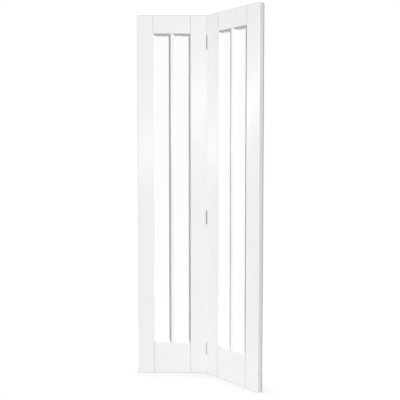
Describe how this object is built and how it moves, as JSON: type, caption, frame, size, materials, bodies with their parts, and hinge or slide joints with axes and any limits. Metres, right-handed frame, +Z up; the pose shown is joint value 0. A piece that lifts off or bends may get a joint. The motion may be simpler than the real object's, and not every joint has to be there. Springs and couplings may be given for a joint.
{
  "type": "internal glazed bifold door",
  "caption": "Internal bifold door standing part folded: white primed leaves joined by butt hinges, each with tall clear panes either side of a slim glazing bar.",
  "frame": {"origin": "mouth of the bottom pivot bore in the left leaf, on the bores' common axis and level with the bottom edges", "axes": "+Z up along the pivot axis, +X along the left leaf towards the hinges, -Y out of the front, towards which the right leaf has swung"},
  "size_m": [0.6663, 0.3131, 1.981],
  "materials": {
    "primed_frame": "smooth white primer, satin",
    "primed_beads": "smooth white primer, satin",
    "timber_lipping": "thinly primed pale timber edge",
    "clear_glass": "clear, polished",
    "hinge_metal": "dull pale plated metal"
  },
  "bodies": {
    "root": {"bottom_hinge_left_flap": "hinge_metal", "bottom_hinge_pin": "hinge_metal", "bottom_hinge_right_flap": "hinge_metal", "left_bottom_rail": "primed_frame", "left_glazing_bar": "primed_frame", "left_inner_back_level_beads": "primed_beads", "left_inner_back_upright_beads": "primed_beads", "left_inner_front_level_beads": "primed_beads", "left_inner_front_upright_beads": "primed_beads", "left_inner_glass": "clear_glass", "left_meeting_lipping": "timber_lipping", "left_meeting_stile": "primed_frame", "left_outer_back_level_beads": "primed_beads", "left_outer_back_upright_beads": "primed_beads", "left_outer_front_level_beads": "primed_beads", "left_outer_front_upright_beads": "primed_beads", "left_outer_glass": "clear_glass", "left_outer_lipping": "timber_lipping", "left_outer_stile": "primed_frame", "left_top_rail": "primed_frame", "middle_hinge_left_flap": "hinge_metal", "middle_hinge_pin": "hinge_metal", "middle_hinge_right_flap": "hinge_metal", "right_bottom_rail": "primed_frame", "right_glazing_bar": "primed_frame", "right_inner_back_level_beads": "primed_beads", "right_inner_back_upright_beads": "primed_beads", "right_inner_front_level_beads": "primed_beads", "right_inner_front_upright_beads": "primed_beads", "right_inner_glass": "clear_glass", "right_meeting_lipping": "timber_lipping", "right_meeting_stile": "primed_frame", "right_outer_back_level_beads": "primed_beads", "right_outer_back_upright_beads": "primed_beads", "right_outer_front_level_beads": "primed_beads", "right_outer_front_upright_beads": "primed_beads", "right_outer_glass": "clear_glass", "right_outer_lipping": "timber_lipping", "right_outer_stile": "primed_frame", "right_top_rail": "primed_frame", "top_hinge_left_flap": "hinge_metal", "top_hinge_pin": "hinge_metal", "top_hinge_right_flap": "hinge_metal"}
  },
  "joints": []
}
